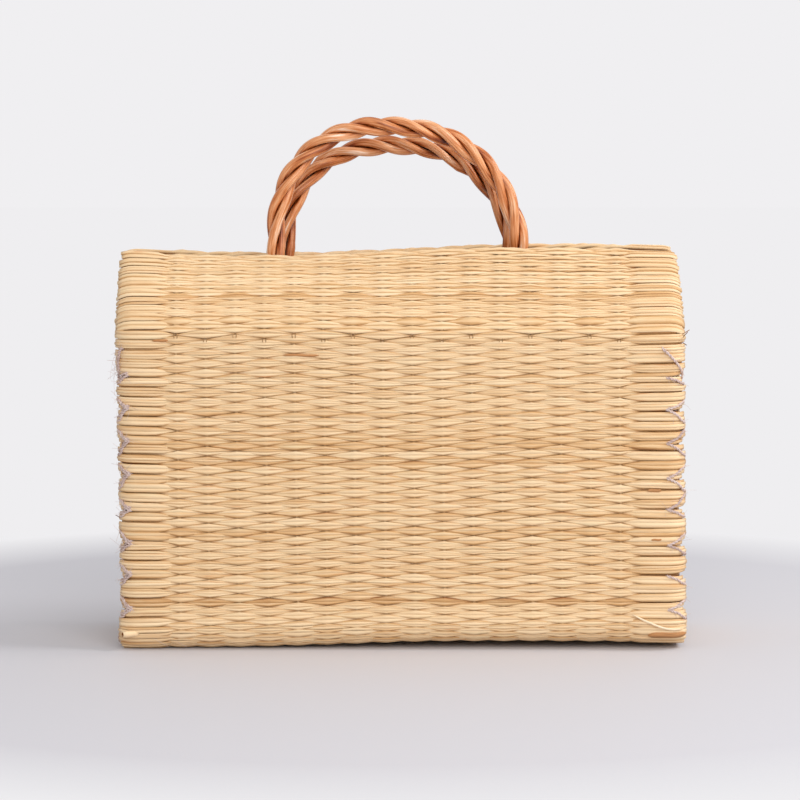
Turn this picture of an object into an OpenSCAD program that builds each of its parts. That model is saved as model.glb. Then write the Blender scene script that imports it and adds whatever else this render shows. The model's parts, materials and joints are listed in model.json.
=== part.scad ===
// Box bag of woven reed mat: a mat folded round the front, bottom and back, two laced end panels,
// two lid flaps that turn at the fold lines, and two arched handles twisted from willow rods.
// The origin is under the middle of the bag, with the front towards -Y.

/* [Bag] */
// Width over the cut reed ends
bag_w = 320; // [280:1:360]
// Depth over the front and back walls
bag_d = 104; // [92:1:120]
// Height of the fold lines that the lid flaps turn on
fold_h = 180; // [140:1:220]
// Outside radius of the two folds along the bottom
bottom_r = 14; // [10:1:20]

/* [Reed mat] */
// Thickness of the mat over the reeds
mat_t = 5; // [4.4:0.1:5.6]
// Depth of the weave's dips at the warps
weave_dip = 1.5; // [0.8:0.1:2]
// Depth of the dips in a mat's first and last row, which are bound tight
bound_dip = 0.1; // [0.05:0.05:0.2]
// Height of one reed row as it shows on the face
row_pitch = 5.4; // [4.5:0.1:7]
// Distance between neighbouring warps
warp_pitch = 16.7; // [14:0.1:22]
// Sideways shift of the warps of the body and the flaps
warp_shift = -1.5; // [-3:0.5:3]
// Least length of unwoven reed outside the outer warps
fringe = 34; // [24:1:44]
// Distance from the outer warp to where the loose reeds stand full
finger = 9; // [6:1:12]

/* [Lid flaps] */
// Lean of a flap from upright at its fold, in degrees
lean_low = 27; // [22:1:36]
// Lean of a flap from upright at its free edge, in degrees
lean_high = 52.5; // [46:0.5:60]
// Radius of the reed bundle in the fold
fold_reed_r = 2.4; // [2:0.1:2.6]
// Play round the fold bundle
fold_clear = 0.3; // [0.2:0.05:0.5]

/* [End panels] */
// Distance of a panel's outer face inside the cut reed ends
panel_inset = 2; // [1:0.5:4]
// Play between a panel and the mat around it
panel_clear = 0.3; // [0.2:0.05:0.5]
// Play between a panel's gable and the flaps above it
gable_clear = 0.5; // [0.4:0.05:0.8]
// Half width of the flat top of a gable
gable_top = 13; // [9:0.5:16]
// Least length of loose reed outside a panel's outer warps
panel_fringe = 14; // [10:1:20]
// Distance from a panel's outer warp to where its loose reeds stand full
panel_finger = 6; // [4:1:9]

/* [Handles] */
// Radius of one willow rod
rod_r = 2.5; // [2:0.1:2.7]
// Radius of the circle that the rods are twisted on
twist_r = 3.1; // [3.05:0.05:3.4]
// Mean length of one full turn of the twist
twist_lay = 65; // [62:1:90]
// Share by which the twist turns slower at the feet and faster at the top
twist_ease = 0.28; // [0:0.02:0.3]
// Gap between the lashed feet of the two handles
feet_gap = 0.8; // [0.6:0.1:2]
// Gap between a handle's foot and the edge of its flap
edge_gap = 0.4; // [0.3:0.1:1]
// Length of a foot below the edge of its flap
foot_l = 24; // [20:1:32]
// Half span of the front handle, between the middles of its feet
front_span = 70.5; // [60:0.5:80]
// Rise of the front handle's arch above the flap edges
front_rise = 77.5; // [60:0.5:90]
// Outward shift of the front handle at its top
front_splay = 3; // [1:0.5:10]
// Half span of the back handle, between the middles of its feet
back_span = 65.5; // [56:0.5:80]
// Rise of the back handle's arch above the flap edges
back_rise = 66; // [60:1:90]
// Outward shift of the back handle at its top
back_splay = 9; // [1:0.5:12]
// Sideways shift of both handles
handle_shift = -0.5; // [-6:0.5:6]
// Sideways shift of the front arch's top beyond its feet
front_skew = -6; // [-8:0.5:8]
// Sideways shift of the back arch's top beyond its feet
back_skew = -3.5; // [-8:0.5:8]
// Squareness of the arches, where 2 is an ellipse
arch_power = 2.3; // [2:0.05:2.6]

/* [Twine] */
// Radius of the lacing twine
twine_r = 0.7; // [0.5:0.05:0.9]
// Distance between stitches along a corner
stitch_pitch = 19; // [15:0.5:26]
// How far from the reed ends a stitch goes into the mat
stitch_in = 9; // [6:0.5:12]
// How much lower a stitch leaves the corner than it enters
stitch_drop = 7; // [3:0.5:9]
// How deep the ends of a stitch sink into the reeds
stitch_sink = 1; // [0.6:0.1:1.6]
// Play between a stitch and the face that it lies on
stitch_clear = 0.05; // [0.05:0.05:0.2]
// Turns of twine in the lashing of a handle's foot
lash_turns = 4; // [3:1:6]
// Play between a lashing and the rods inside it
lash_clear = 0.1; // [0.05:0.05:0.2]

/* [Hidden] */

reed_color = "burlywood";
fold_color = "tan";
willow_color = "peru";
twine_color = "rosybrown";

front = -1;
back = 1;
left = -1;
right = 1;
rods = 3;
rod_sides = 8;
twine_sides = 6;
foot_steps = 6;
arch_steps = 54;
fold_arc_steps = 8;

// The section of the bag is drawn in an outward distance o from its middle plane and a height z.
hinge_o = bag_d / 2 - mat_t / 2;
fold_edge = fold_reed_r + fold_clear;
handle_r = twist_r + rod_r;
lash_t = lash_clear + 2 * twine_r;
foot_o = handle_r + lash_t + feet_gap / 2;
flap_edge_o = foot_o + handle_r + edge_gap;
flap_run = hinge_o - flap_edge_o - mat_t / 2 * cos(lean_high);
flap_r = flap_run / (cos(lean_low) - cos(lean_high));
flap_centre_o = hinge_o - flap_r * cos(lean_low);
flap_centre_z = fold_h - flap_r * sin(lean_low);
flap_edge_z = flap_centre_z + (flap_r - mat_t / 2) * sin(lean_high);
flap_from = lean_low + fold_edge / flap_r * 180 / PI;
flap_l = (flap_r + mat_t / 2) * (lean_high - flap_from) * PI / 180;

panel_half = bag_d / 2 - mat_t - panel_clear;
panel_z = mat_t + panel_clear;
panel_x = bag_w / 2 - panel_inset;
gable_r = flap_r - mat_t / 2 - gable_clear;
gable_z = flap_centre_z + sqrt(pow(gable_r, 2) - pow(gable_top - flap_centre_o, 2));
stitch_lift = twine_r + stitch_clear;
stitch_count = floor((fold_h - fold_edge - bottom_r) / stitch_pitch);

// Even number of half rows that fits a length
function half_rows(length) = 2 * round(length / row_pitch);

// Places across a mat: its two edges, where its loose reeds stand full, and its warps
function columns(half, least, step, shift) =
  let (
    count = floor((2 * half - 2 * least) / warp_pitch) + 1,
    span = (count - 1) * warp_pitch
  )
  concat(
    [-half, shift - span / 2 - step],
    [for (i = [0:count - 1]) shift - span / 2 + i * warp_pitch],
    [shift + span / 2 + step, half]
  );

// The reeds lie high where row and column are alike, and the loose ends follow their neighbour
function column_phase(k, last) = k == 0 ? 1 : k == last ? last - 1 : k;
function is_high(r, k, last) = (r + column_phase(k, last)) % 2 == 0;

// The first and last rows of a mat are bound almost flat
function row_dip(i, last) = i == 0 || i == last ? bound_dip : weave_dip;

// A row of a mat is [y, z, outward y, outward z, dip, width scale]
function outer_point(row, x, high) =
  let (dip = high ? 0 : row[4])
  [x * row[5], row[0] - dip * row[2], row[1] - dip * row[3]];
function inner_point(row, x) = [x * row[5], row[0] - mat_t * row[2], row[1] - mat_t * row[3]];

// A woven mat as one closed solid, from its rows and its column places
module woven_mat(rows, xs) {
  n = len(rows) - 1;
  m = len(xs) - 1;
  inner = (n + 1) * (m + 1);
  points = concat(
    [for (r = [0:n]) for (k = [0:m]) outer_point(rows[r], xs[k], is_high(r, k, m))],
    [for (r = [0:n]) for (x = [xs[0], xs[m]]) inner_point(rows[r], x)]
  );
  weave = [
    for (r = [0:n - 1]) for (k = [0:m - 1])
      let (
        a = r * (m + 1) + k,
        b = a + 1,
        d = a + m + 1,
        c = d + 1
      )
      each is_high(r, k, m) ? [[a, b, d], [b, c, d]] : [[a, b, c], [a, c, d]]
  ];
  lining = [
    for (r = [0:n - 1])
      let (i = inner + 2 * r)
      [i, i + 2, i + 3, i + 1]
  ];
  left_end = [
    for (r = [0:n - 1])
      let (o = r * (m + 1), i = inner + 2 * r)
      [i, o, o + m + 1, i + 2]
  ];
  right_end = [
    for (r = [0:n - 1])
      let (o = r * (m + 1) + m, i = inner + 2 * r + 1)
      [o, i, i + 2, o + m + 1]
  ];
  first_edge = concat([inner, inner + 1], [for (k = [m:-1:0]) k]);
  last_edge = concat([inner + 2 * n], [for (k = [0:m]) n * (m + 1) + k], [inner + 2 * n + 1]);
  polyhedron(points, concat(weave, lining, left_end, right_end, [first_edge, last_edge]), convexity = 6);
}

// Rows of the folded mat: down the front, round under the bottom and up the back
function wall_rows(side) =
  let (top = fold_h - fold_edge, n = half_rows(top - bottom_r))
  [for (i = [0:n - 1]) [side * bag_d / 2, top - (top - bottom_r) * i / n, side, 0, row_dip(i, -1), 1]];
function bottom_fold_rows(side) = [
  for (i = [0:fold_arc_steps])
    let (a = 90 * i / fold_arc_steps)
    [
      side * (bag_d / 2 - bottom_r + bottom_r * cos(a)), bottom_r - bottom_r * sin(a),
      side * cos(a), -sin(a), i == fold_arc_steps ? 0 : weave_dip, 1
    ]
];
function reversed(list) = [for (i = [len(list) - 1:-1:0]) list[i]];
function half_body_rows(side) = concat(wall_rows(side), bottom_fold_rows(side));
function body_rows() = concat(half_body_rows(front), reversed(half_body_rows(back)));

module body_mat() color(reed_color)
  woven_mat(body_rows(), columns(bag_w / 2, fringe, finger, warp_shift));

// Rows of a flap, from its free edge down to its fold
function flap_rows() =
  let (n = half_rows(flap_l), outer = flap_r + mat_t / 2)
  [
    for (i = [0:n])
      let (a = lean_high + (flap_from - lean_high) * i / n)
      [
        -flap_centre_o - outer * cos(a), flap_centre_z + outer * sin(a),
        -cos(a), sin(a), row_dip(i, n), 1
      ]
  ];

// The flap over the front wall, turned round for the back
module flap(side) color(reed_color)
  rotate([0, 0, side == front ? 0 : 180])
    woven_mat(flap_rows(), columns(bag_w / 2, fringe, finger, side == front ? warp_shift : -warp_shift));

// The reed bundle in a fold line, which the flap turns round
module fold_reeds(side) color(fold_color)
  translate([-bag_w / 2, side * hinge_o, fold_h])
    rotate([0, 90, 0])
      cylinder(h = bag_w, r = fold_reed_r, $fn = 48);

// Half width of an end panel: round at the bottom folds, straight, then a gable under the flaps
function panel_width(z) =
  let (
    round_r = bottom_r - panel_z,
    under_flap = flap_centre_o + sqrt(pow(gable_r, 2) - pow(max(z, fold_h) - flap_centre_z, 2)),
    in_fold = bag_d / 2 - bottom_r + sqrt(max(0, pow(round_r, 2) - pow(max(bottom_r - z, 0), 2)))
  )
  min(panel_half, under_flap, in_fold);
function panel_rows() =
  let (n = half_rows(gable_z - panel_z))
  [
    for (i = [0:n])
      let (z = gable_z + (panel_z - gable_z) * i / n)
      [-panel_x, z, -1, 0, row_dip(i, n), panel_width(z) / panel_half]
  ];

module end_panel(side) color(reed_color)
  rotate([0, 0, side * 90])
    woven_mat(panel_rows(), columns(panel_half, panel_fringe, panel_finger, 0));

// A round tube along a path, with its rings square to it
function unit(v) = v / norm(v);
function path_direction(path, i) = unit(path[min(i + 1, len(path) - 1)] - path[max(i - 1, 0)]);
function ring_point(centre, u, v, r, a) = centre + r * (cos(a) * u + sin(a) * v);
function path_ring(path, i, r, sides, across) =
  let (
    t = path_direction(path, i),
    u = unit(across - (across * t) * t),
    v = cross(t, u)
  )
  [for (k = [0:sides - 1]) ring_point(path[i], u, v, r, 360 * k / sides)];
module skin_rings(rings) {
  n = len(rings);
  s = len(rings[0]);
  sides = [
    for (i = [0:n - 2]) for (k = [0:s - 1])
      let (a = i * s + k, b = i * s + (k + 1) % s)
      each [[a, b + s, b], [a, a + s, b + s]]
  ];
  first_cap = [for (k = [0:s - 1]) k];
  last_cap = [for (k = [s - 1:-1:0]) (n - 1) * s + k];
  polyhedron([for (ring = rings) each ring], concat(sides, [first_cap, last_cap]), convexity = 8);
}
module tube(path, r, sides, across)
  skin_rings([for (i = [0:len(path) - 1]) path_ring(path, i, r, sides, across)]);

// One whip stitch over an upright corner, from the wall round the reed ends into the end panel
function corner_stitch(x, y, z) =
  let (
    reach = bag_w / 2 + stitch_lift,
    face = bag_d / 2 + stitch_lift
  )
  [
    [x * (bag_w / 2 - stitch_in), y * (bag_d / 2 - stitch_sink - weave_dip), z + stitch_drop / 2],
    [x * (bag_w / 2 - stitch_in + stitch_sink), y * face, z + stitch_drop / 3],
    [x * (bag_w / 2 - stitch_sink), y * face, z],
    [x * reach, y * (bag_d / 2 - stitch_sink), z - stitch_drop / 6],
    [x * reach, y * (bag_d / 2 - mat_t + stitch_sink), z - stitch_drop / 3],
    [x * (panel_x + stitch_lift), y * (bag_d / 2 - mat_t - stitch_in / 2), z - stitch_drop / 2],
    [x * (panel_x - weave_dip - stitch_sink), y * (bag_d / 2 - mat_t - stitch_in), z - stitch_drop / 2]
  ];
module corner_lacing(x, y) color(twine_color)
  for (i = [0:stitch_count - 1])
    tube(corner_stitch(x, y, bottom_r + (i + 0.5) * stitch_pitch), twine_r, twine_sides, [0, 0, 1]);

// One stitch from the end panel down round the reed ends of the bottom
function bottom_stitch(x, y) =
  let (reach = bag_w / 2 + stitch_lift)
  [
    [x * (panel_x - weave_dip - stitch_sink), y + stitch_drop / 2, mat_t + stitch_in],
    [x * (panel_x + stitch_lift), y + stitch_drop / 3, mat_t + stitch_in - stitch_sink],
    [x * reach, y, mat_t - stitch_sink],
    [x * reach, y - stitch_drop / 3, mat_t / 2],
    [x * (bag_w / 2 - stitch_sink), y - stitch_drop / 2, twine_r + stitch_sink]
  ];
module bottom_lacing(x) {
  run = bag_d - 2 * bottom_r;
  count = floor(run / stitch_pitch);
  color(twine_color)
    for (i = [0:count - 1])
      tube(bottom_stitch(x, (i - (count - 1) / 2) * stitch_pitch), twine_r, twine_sides, [0, 1, 0]);
}

// Middle line of a handle: a straight foot, a squarish arch that leans outwards, and the other foot
function arch_part(c) = sign(c) * pow(abs(c), 2 / arch_power);
function handle_arch(side, span, rise, splay, skew) = [
  for (i = [0:arch_steps])
    let (
      a = 180 - 180 * i / arch_steps,
      up = arch_part(sin(a))
    )
    [
      handle_shift + span * arch_part(cos(a)) + skew * up,
      side * (foot_o + splay * pow(up, 2)),
      flap_edge_z + rise * up
    ]
];
function handle_foot(side, x) = [
  for (i = [0:foot_steps - 1])
    [handle_shift + x, side * foot_o, flap_edge_z - foot_l + foot_l * i / foot_steps]
];
function handle_line(side, span, rise, splay, skew) = concat(
  handle_foot(side, -span),
  handle_arch(side, span, rise, splay, skew),
  reversed(handle_foot(side, span))
);

// Length along a path up to each of its points
function path_lengths(path) = [
  for (
    i = 0, s = 0;
    i < len(path);
    s = s + norm(path[min(i + 1, len(path) - 1)] - path[i]), i = i + 1
  ) s
];

// Turn of the twist at a length along a handle, slower near the two feet
function twist_turn(run, whole) =
  360 * (run - twist_ease * whole / (2 * PI) * sin(360 * run / whole)) / twist_lay;

// One rod of a handle, wound round the middle line with the others
module handle_rod(side, span, rise, splay, skew, number) {
  line = handle_line(side, span, rise, splay, skew);
  run = path_lengths(line);
  rings = [
    for (i = [0:len(line) - 1])
      let (
        t = path_direction(line, i),
        u = unit([0, 1, 0] - t[1] * t),
        v = cross(t, u),
        turn = 360 * number / rods + twist_turn(run[i], run[len(line) - 1]),
        middle = line[i] + twist_r * (cos(turn) * u + sin(turn) * v)
      )
      [for (k = [0:rod_sides - 1]) ring_point(middle, u, v, rod_r, 360 * k / rod_sides)]
  ];
  color(willow_color)
    skin_rings(rings);
}
module front_handle_rod(number)
  handle_rod(front, front_span, front_rise, front_splay, front_skew, number);
module back_handle_rod(number)
  handle_rod(back, back_span, back_rise, back_splay, back_skew, number);

// Turns of twine round a foot, the top one drawn into the edge of the flap
module lashing(side, x) color(twine_color)
  for (i = [0:lash_turns - 1])
    translate([handle_shift + x, side * foot_o, flap_edge_z - twine_r / 2 - i * (2 * twine_r + lash_clear)])
      rotate_extrude($fn = 64)
        translate([handle_r + lash_clear + twine_r, 0])
          circle(r = twine_r, $fn = 24);

body_mat();
end_panel(left);  // left_end_panel
end_panel(right);  // right_end_panel
fold_reeds(front);  // front_fold_reeds
fold_reeds(back);  // back_fold_reeds
corner_lacing(left, front);  // front_left_lacing
corner_lacing(right, front);  // front_right_lacing
corner_lacing(left, back);  // back_left_lacing
corner_lacing(right, back);  // back_right_lacing
bottom_lacing(left);  // bottom_left_lacing
bottom_lacing(right);  // bottom_right_lacing
flap(front);  // front_flap
front_handle_rod(0);  // front_handle_rod_1
front_handle_rod(1);  // front_handle_rod_2
front_handle_rod(2);  // front_handle_rod_3
lashing(front, -front_span);  // front_left_lashing
lashing(front, front_span);  // front_right_lashing
flap(back);  // back_flap
back_handle_rod(0);  // back_handle_rod_1
back_handle_rod(1);  // back_handle_rod_2
back_handle_rod(2);  // back_handle_rod_3
lashing(back, -back_span);  // back_left_lashing
lashing(back, back_span);  // back_right_lashing
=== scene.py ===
import json
import math

import bpy
import numpy as np
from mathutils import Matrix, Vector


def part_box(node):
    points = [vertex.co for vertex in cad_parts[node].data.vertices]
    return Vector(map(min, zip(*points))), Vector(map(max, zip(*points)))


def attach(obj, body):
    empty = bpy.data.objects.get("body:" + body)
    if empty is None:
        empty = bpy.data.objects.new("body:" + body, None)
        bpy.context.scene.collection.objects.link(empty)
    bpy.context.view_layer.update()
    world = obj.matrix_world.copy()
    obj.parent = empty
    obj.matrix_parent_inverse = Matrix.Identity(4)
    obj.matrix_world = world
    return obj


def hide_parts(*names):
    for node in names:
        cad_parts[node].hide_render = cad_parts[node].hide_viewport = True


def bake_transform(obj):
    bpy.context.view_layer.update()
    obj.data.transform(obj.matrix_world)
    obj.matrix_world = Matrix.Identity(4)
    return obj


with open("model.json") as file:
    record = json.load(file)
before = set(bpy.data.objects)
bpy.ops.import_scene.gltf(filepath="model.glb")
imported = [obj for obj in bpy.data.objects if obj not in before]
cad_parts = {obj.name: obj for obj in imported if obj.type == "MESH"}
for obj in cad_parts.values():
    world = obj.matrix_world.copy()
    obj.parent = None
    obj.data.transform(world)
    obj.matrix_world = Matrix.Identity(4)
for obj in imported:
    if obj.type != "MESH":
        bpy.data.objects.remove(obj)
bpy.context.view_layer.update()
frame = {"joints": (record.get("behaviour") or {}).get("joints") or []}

# Front wall, bottom and back wall
# One mat of split reed, woven on sixteen upright twine warps and folded round the front, the bottom and
# the back. A row is a bundle of reeds that swells in front of one warp and is pinched under the next.
mm = 0.001
mat_low, mat_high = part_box("body_mat")
fold_place = next(j["pos_m"] for j in frame["joints"] if j["name"] == "front_flap_fold")
half_w = (mat_high[0] - mat_low[0]) / 2
wall_y = -fold_place[1]
fold_z = fold_place[2]
mat_t = 2 * (mat_high[1] - wall_y)
bottom_r = 14 * mm
under_r = bottom_r - mat_t / 2
# Along the mat, s runs from the front fold down, under the bottom and up to the back fold. Along a row, u
# runs from left to right, with 0 in the middle.
wall_run = fold_z - bottom_r
turn_run = under_r * math.pi / 2
floor_run = 2 * (wall_y - under_r)
mat_run = 2 * wall_run + 2 * turn_run + floor_run
row_gap = fold_z - mat_high[2]
warp_count = 16
warp_pitch = 16.7 * mm
warp_shift = -1.5 * mm
warp_at = warp_shift + warp_pitch * (np.arange(warp_count) - (warp_count - 1) / 2)


def srgb(red, green, blue):
    """The linear colour of a screen colour."""
    parts = []
    for value in (red, green, blue):
        share = value / 255
        parts.append(share / 12.92 if share <= 0.04045 else ((share + 0.055) / 1.055) ** 2.4)
    return (*parts, 1.0)


def grey(level):
    return (level, level, level, 1.0)


def ring_angles(sides):
    return np.arange(sides) * 2 * math.pi / sides


def oval_rings(middle, first, second, half_first, half_second, angle):
    """Oval rings along a line, one at each of its points, from two directions square to the line."""
    wide = np.broadcast_to(half_first, len(middle))[:, None] * np.cos(angle)
    high = np.broadcast_to(half_second, len(middle))[:, None] * np.sin(angle)
    rings = middle[:, None, :] + first[:, None, :] * wide[:, :, None]
    return rings + second[:, None, :] * high[:, :, None]


def flat_rings(middle, out, down, thick, high, sides):
    """Oval rings flat against the face that a line lies on, and how far down each of their corners sits."""
    at = len(middle) // 2
    hand = np.sign(np.dot(np.cross(out[at], down[at]), middle[at] - middle[at - 1]))
    angle = hand * ring_angles(sides)
    return oval_rings(middle, out, down, thick, high, angle), np.sin(angle)


def mesh_of_tubes(name, tubes, tones, tints):
    """One mesh of closed tubes. Each vertex keeps its place along and round its own reed, and its tone, which
    holds the reed's own tone and any painted shade.
    """
    points, grain, tone_of, tint_of, quads, caps = [], [], [], [], [], []
    start = 0
    for rings, tone, tint in zip(tubes, tones, tints):
        count, sides = rings.shape[:2]
        middles = rings.mean(axis=1)
        steps = np.linalg.norm(np.diff(middles, axis=0), axis=1)
        along = np.concatenate([[0.0], np.cumsum(steps)])
        angle = ring_angles(sides)
        place = np.empty((count, sides, 3))
        place[:, :, 0] = along[:, None]
        place[:, :, 1] = np.cos(angle)[None, :]
        place[:, :, 2] = np.sin(angle)[None, :]
        ring = np.arange(count - 1)[:, None] * sides
        a = start + ring + np.arange(sides)[None, :]
        b = start + ring + (np.arange(sides)[None, :] + 1) % sides
        quads.append(np.stack([a, b, b + sides, a + sides], axis=-1).reshape(-1, 4))
        caps.append(start + np.arange(sides)[::-1])
        caps.append(start + (count - 1) * sides + np.arange(sides))
        points.append(rings.reshape(-1, 3))
        grain.append(place.reshape(-1, 3))
        tone_of.append(np.broadcast_to(tone, (count, sides)).ravel())
        tint_of.append(np.full(count * sides, tint))
        start += count * sides
    quads = np.concatenate(quads)
    caps = np.array(caps)
    corners = np.concatenate([quads.ravel(), caps.ravel()]).astype(np.int32)
    quad_starts = np.arange(len(quads)) * 4
    cap_starts = len(quads) * 4 + np.arange(len(caps)) * caps.shape[1]
    face_starts = np.concatenate([quad_starts, cap_starts]).astype(np.int32)
    smooth = np.concatenate([np.ones(len(quads), bool), np.zeros(len(caps), bool)])
    mesh = bpy.data.meshes.new(name)
    mesh.vertices.add(start)
    mesh.vertices.foreach_set("co", np.concatenate(points).ravel())
    mesh.loops.add(len(corners))
    mesh.polygons.add(len(quads) + len(caps))
    mesh.polygons.foreach_set("loop_start", face_starts)
    mesh.polygons.foreach_set("vertices", corners)
    mesh.polygons.foreach_set("use_smooth", smooth)
    mesh.update(calc_edges=True)
    kept = [
        ("grain", "FLOAT_VECTOR", "vector", np.concatenate(grain).ravel()),
        ("tone", "FLOAT", "value", np.concatenate(tone_of)),
        ("tint", "FLOAT", "value", np.concatenate(tint_of)),
    ]
    for key, kind, field, values in kept:
        mesh.attributes.new(key, kind, "POINT").data.foreach_set(field, values)
    piece = bpy.data.objects.new(name, mesh)
    bpy.context.scene.collection.objects.link(piece)
    return piece


def weave_phase(u, warps, reach):
    """Which warp a place is at, counted in warps, and how far out it is among the loose ends."""
    inside = np.clip((u - warps[0]) / (warps[1] - warps[0]), 0, len(warps) - 1)
    loose = np.clip(np.maximum(warps[0] - u, u - warps[-1]) / reach, 0, 1)
    return inside + np.where(u > warps[-1], loose, -loose), loose


# The reeds of a row: the lens that they make, each reed, the loose ends past the last warps, and the tones
# with their painted shade
any_phase = (0, 6)
lens_half = 2.45 * mm
lens_power = 0.85
tip_half = 0.22 * mm
face_depth = 1.05 * mm
face_swing = 0.42 * mm
face_crown = 0.35 * mm
face_uneven = 0.06 * mm
reed_half_t = 0.6 * mm
reed_thicks = (0.92, 1.06)
reed_widths = (0.75, 1.25)
reed_overlap = 1.22
pinch_thin = 0.55
stray_high = 0.12 * mm
stray_wave = 17 * mm
floor_clear = 0.05 * mm
finger = 11 * mm
finger_spread = (0.8, 1.35)
end_cut = (-1.2 * mm, 0.8 * mm)
end_thin = 0.05
end_spread = 1.8 * mm
end_slip = 0.25 * mm
end_crown = 1.8
middle_tone = 0.5
tone_limits = (0.1, 0.9)
row_uneven = 0.02
reed_uneven = 0.07
pinch_shade_depth = 0.22
pinch_shade_power = 7
end_shade_depth = 0.08
rim_shade_depth = 0.21
rim_shade_power = 5
single_share = 0.02


def weave_row(place, row_s, side, stations, phase, loose, count, sides, face, rng):
    """The reeds of one row on one face of a mat: lens-shaped bundles that run to a point at the pinches, with
    painted shade in the pinched slits and at the edges of each bundle.
    """
    wave = face * side * np.cos(math.pi * phase)
    full = 1 - np.arccos(np.clip(wave, -1, 1)) / math.pi
    swell = full ** np.where(loose > 0, 1.0, lens_power)
    half = tip_half + (lens_half - tip_half) * swell * (1 - rng.uniform(0, end_thin) * loose)
    half = half + end_spread * loose ** 2 * (1 - full)
    slip = rng.normal(0, end_slip) * loose
    widths = rng.uniform(*reed_widths, count)
    widths = widths / widths.sum()
    centres = np.cumsum(widths) - widths / 2 - 0.5
    row_tone = rng.normal(middle_tone, row_uneven)
    tubes, tones, tints = [], [], []
    for width, centre in zip(widths, centres):
        u = stations.copy()
        u[0] -= rng.uniform(*end_cut)
        u[-1] += rng.uniform(*end_cut)
        stray = stray_high * np.sin(u / stray_wave + rng.uniform(*any_phase))
        middle, out, down = place(u, row_s + 2 * half * centre + stray + slip)
        crown = face_crown * (1 + end_crown * loose) * (1 - (2 * centre) ** 2) * full
        depth = face * (face_depth + face_swing * wave + crown + rng.normal(0, face_uneven))
        middle = middle + out * depth[:, None]
        thick = reed_half_t * (pinch_thin + (1 - pinch_thin) * full) * rng.uniform(*reed_thicks)
        rings, low = flat_rings(middle, out, down, thick, half * width * reed_overlap, sides)
        rings[:, :, 2] = np.maximum(rings[:, :, 2], floor_clear)
        tubes.append(rings)
        tone = np.clip(row_tone + rng.normal(0, reed_uneven), *tone_limits)
        # Painted shade: the tone is darkened in the slits where the row is pinched, between the loose ends,
        # and along the top and bottom edges of the bundle where it meets the next row.
        pinch_shade = pinch_shade_depth * (1 - full) ** pinch_shade_power + end_shade_depth * loose * (1 - full)
        rim_shade = np.clip(np.abs(2 * centre + reed_overlap * width * low), 0, 1) ** rim_shade_power
        tones.append(tone - rim_shade_depth * rim_shade[None, :] - pinch_shade[:, None])
        tints.append(rng.random())
    return tubes, tones, tints


def weave_part(name, place, rows, stations, warps, reach, seed, three_share, sides, face):
    """One face of a woven piece from its rows, each a place along the mat and a side at the first warp."""
    rng = np.random.default_rng(seed)
    tubes, tones, tints = [], [], []
    for row_s, side in rows:
        u = stations(row_s)
        draw = rng.random()
        count = 1 if face < 0 or draw > 1 - single_share else 3 if draw < three_share else 2
        phase, loose = weave_phase(u, warps, reach * rng.uniform(*finger_spread))
        made = weave_row(place, row_s, side, u, phase, loose, count, sides, face, rng)
        tubes += made[0]
        tones += made[1]
        tints += made[2]
    return mesh_of_tubes(name, tubes, tones, tints)


def mat_section(s):
    """Where the folded mat runs, at a length from the front fold.

    Gives y, z, then the outward and the downward direction, each as its y and z.
    """
    near = np.minimum(s, mat_run - s)
    flip = np.where(s > mat_run / 2, -1.0, 1.0)
    a = np.clip((near - wall_run) / under_r, 0, math.pi / 2)
    y = -(wall_y - under_r) - under_r * np.cos(a) + np.maximum(near - wall_run - turn_run, 0)
    z = np.where(near < wall_run, fold_z - near, bottom_r - under_r * np.sin(a))
    return flip * y, z, -flip * np.cos(a), -np.sin(a), np.sin(a), -flip * np.cos(a)


# Each wave of the drift: its height, its length along a row and along the mat, and its phase
drift_waves = [
    (0.5 * mm, 43 * mm, 31 * mm, 0.7),
    (0.3 * mm, 19 * mm, -57 * mm, 2.1),
]


def weave_drift(u, s):
    """How far the rows of the mat wander along it."""
    return sum(high * np.sin(u / wave_u + s / wave_s + phase) for high, wave_u, wave_s, phase in drift_waves)


# What the lacing does to the edge of the mat: it draws the reeds in at each stitch and parts them beside it
stitch_pitch = 19 * mm
stitch_count = 8
laced_reach = 14 * mm
parting_open = 1.1 * mm
parting_sharp = 0.05
parting_fade = 0.2
tight_power = 3


def lacing_pull(u, z):
    """How near the laced edge a place is, how tight a stitch holds it, and how far its reeds are parted."""
    edge = np.clip((np.abs(u) - half_w + laced_reach) / laced_reach, 0, 1)
    stitch = (z - bottom_r) / stitch_pitch
    laced = np.where((stitch > 0) & (stitch < stitch_count), edge ** 2, 0)
    off_stitch = stitch % 1 - 0.5
    parting = np.tanh(off_stitch / parting_sharp) * np.exp(-np.abs(off_stitch) / parting_fade)
    tight = (1 - 2 * np.abs(off_stitch)) ** tight_power * laced
    return edge, tight, parting_open * parting * laced


# How the hand-made mat strays from a plain box, at its corners, in its walls and along its foot
corner_r = 8 * mm
edge_draw = 0.8 * mm
left_pull = 1.4 * mm
right_pull = 2.2 * mm
stitch_sink = 0.9 * mm
bulge_high = 0.5 * mm
bulge_across = 52 * mm
bulge_along = 37 * mm
bulge_phase = 1.0
foot_lean = 2.4 * mm
foot_lift = 3.7 * mm
foot_high = 50 * mm
lift_at = -30 * mm
lift_ease = 50 * mm
spread_out = 2.2 * mm
spread_wide = 25 * mm
spread_high = 30 * mm


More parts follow.
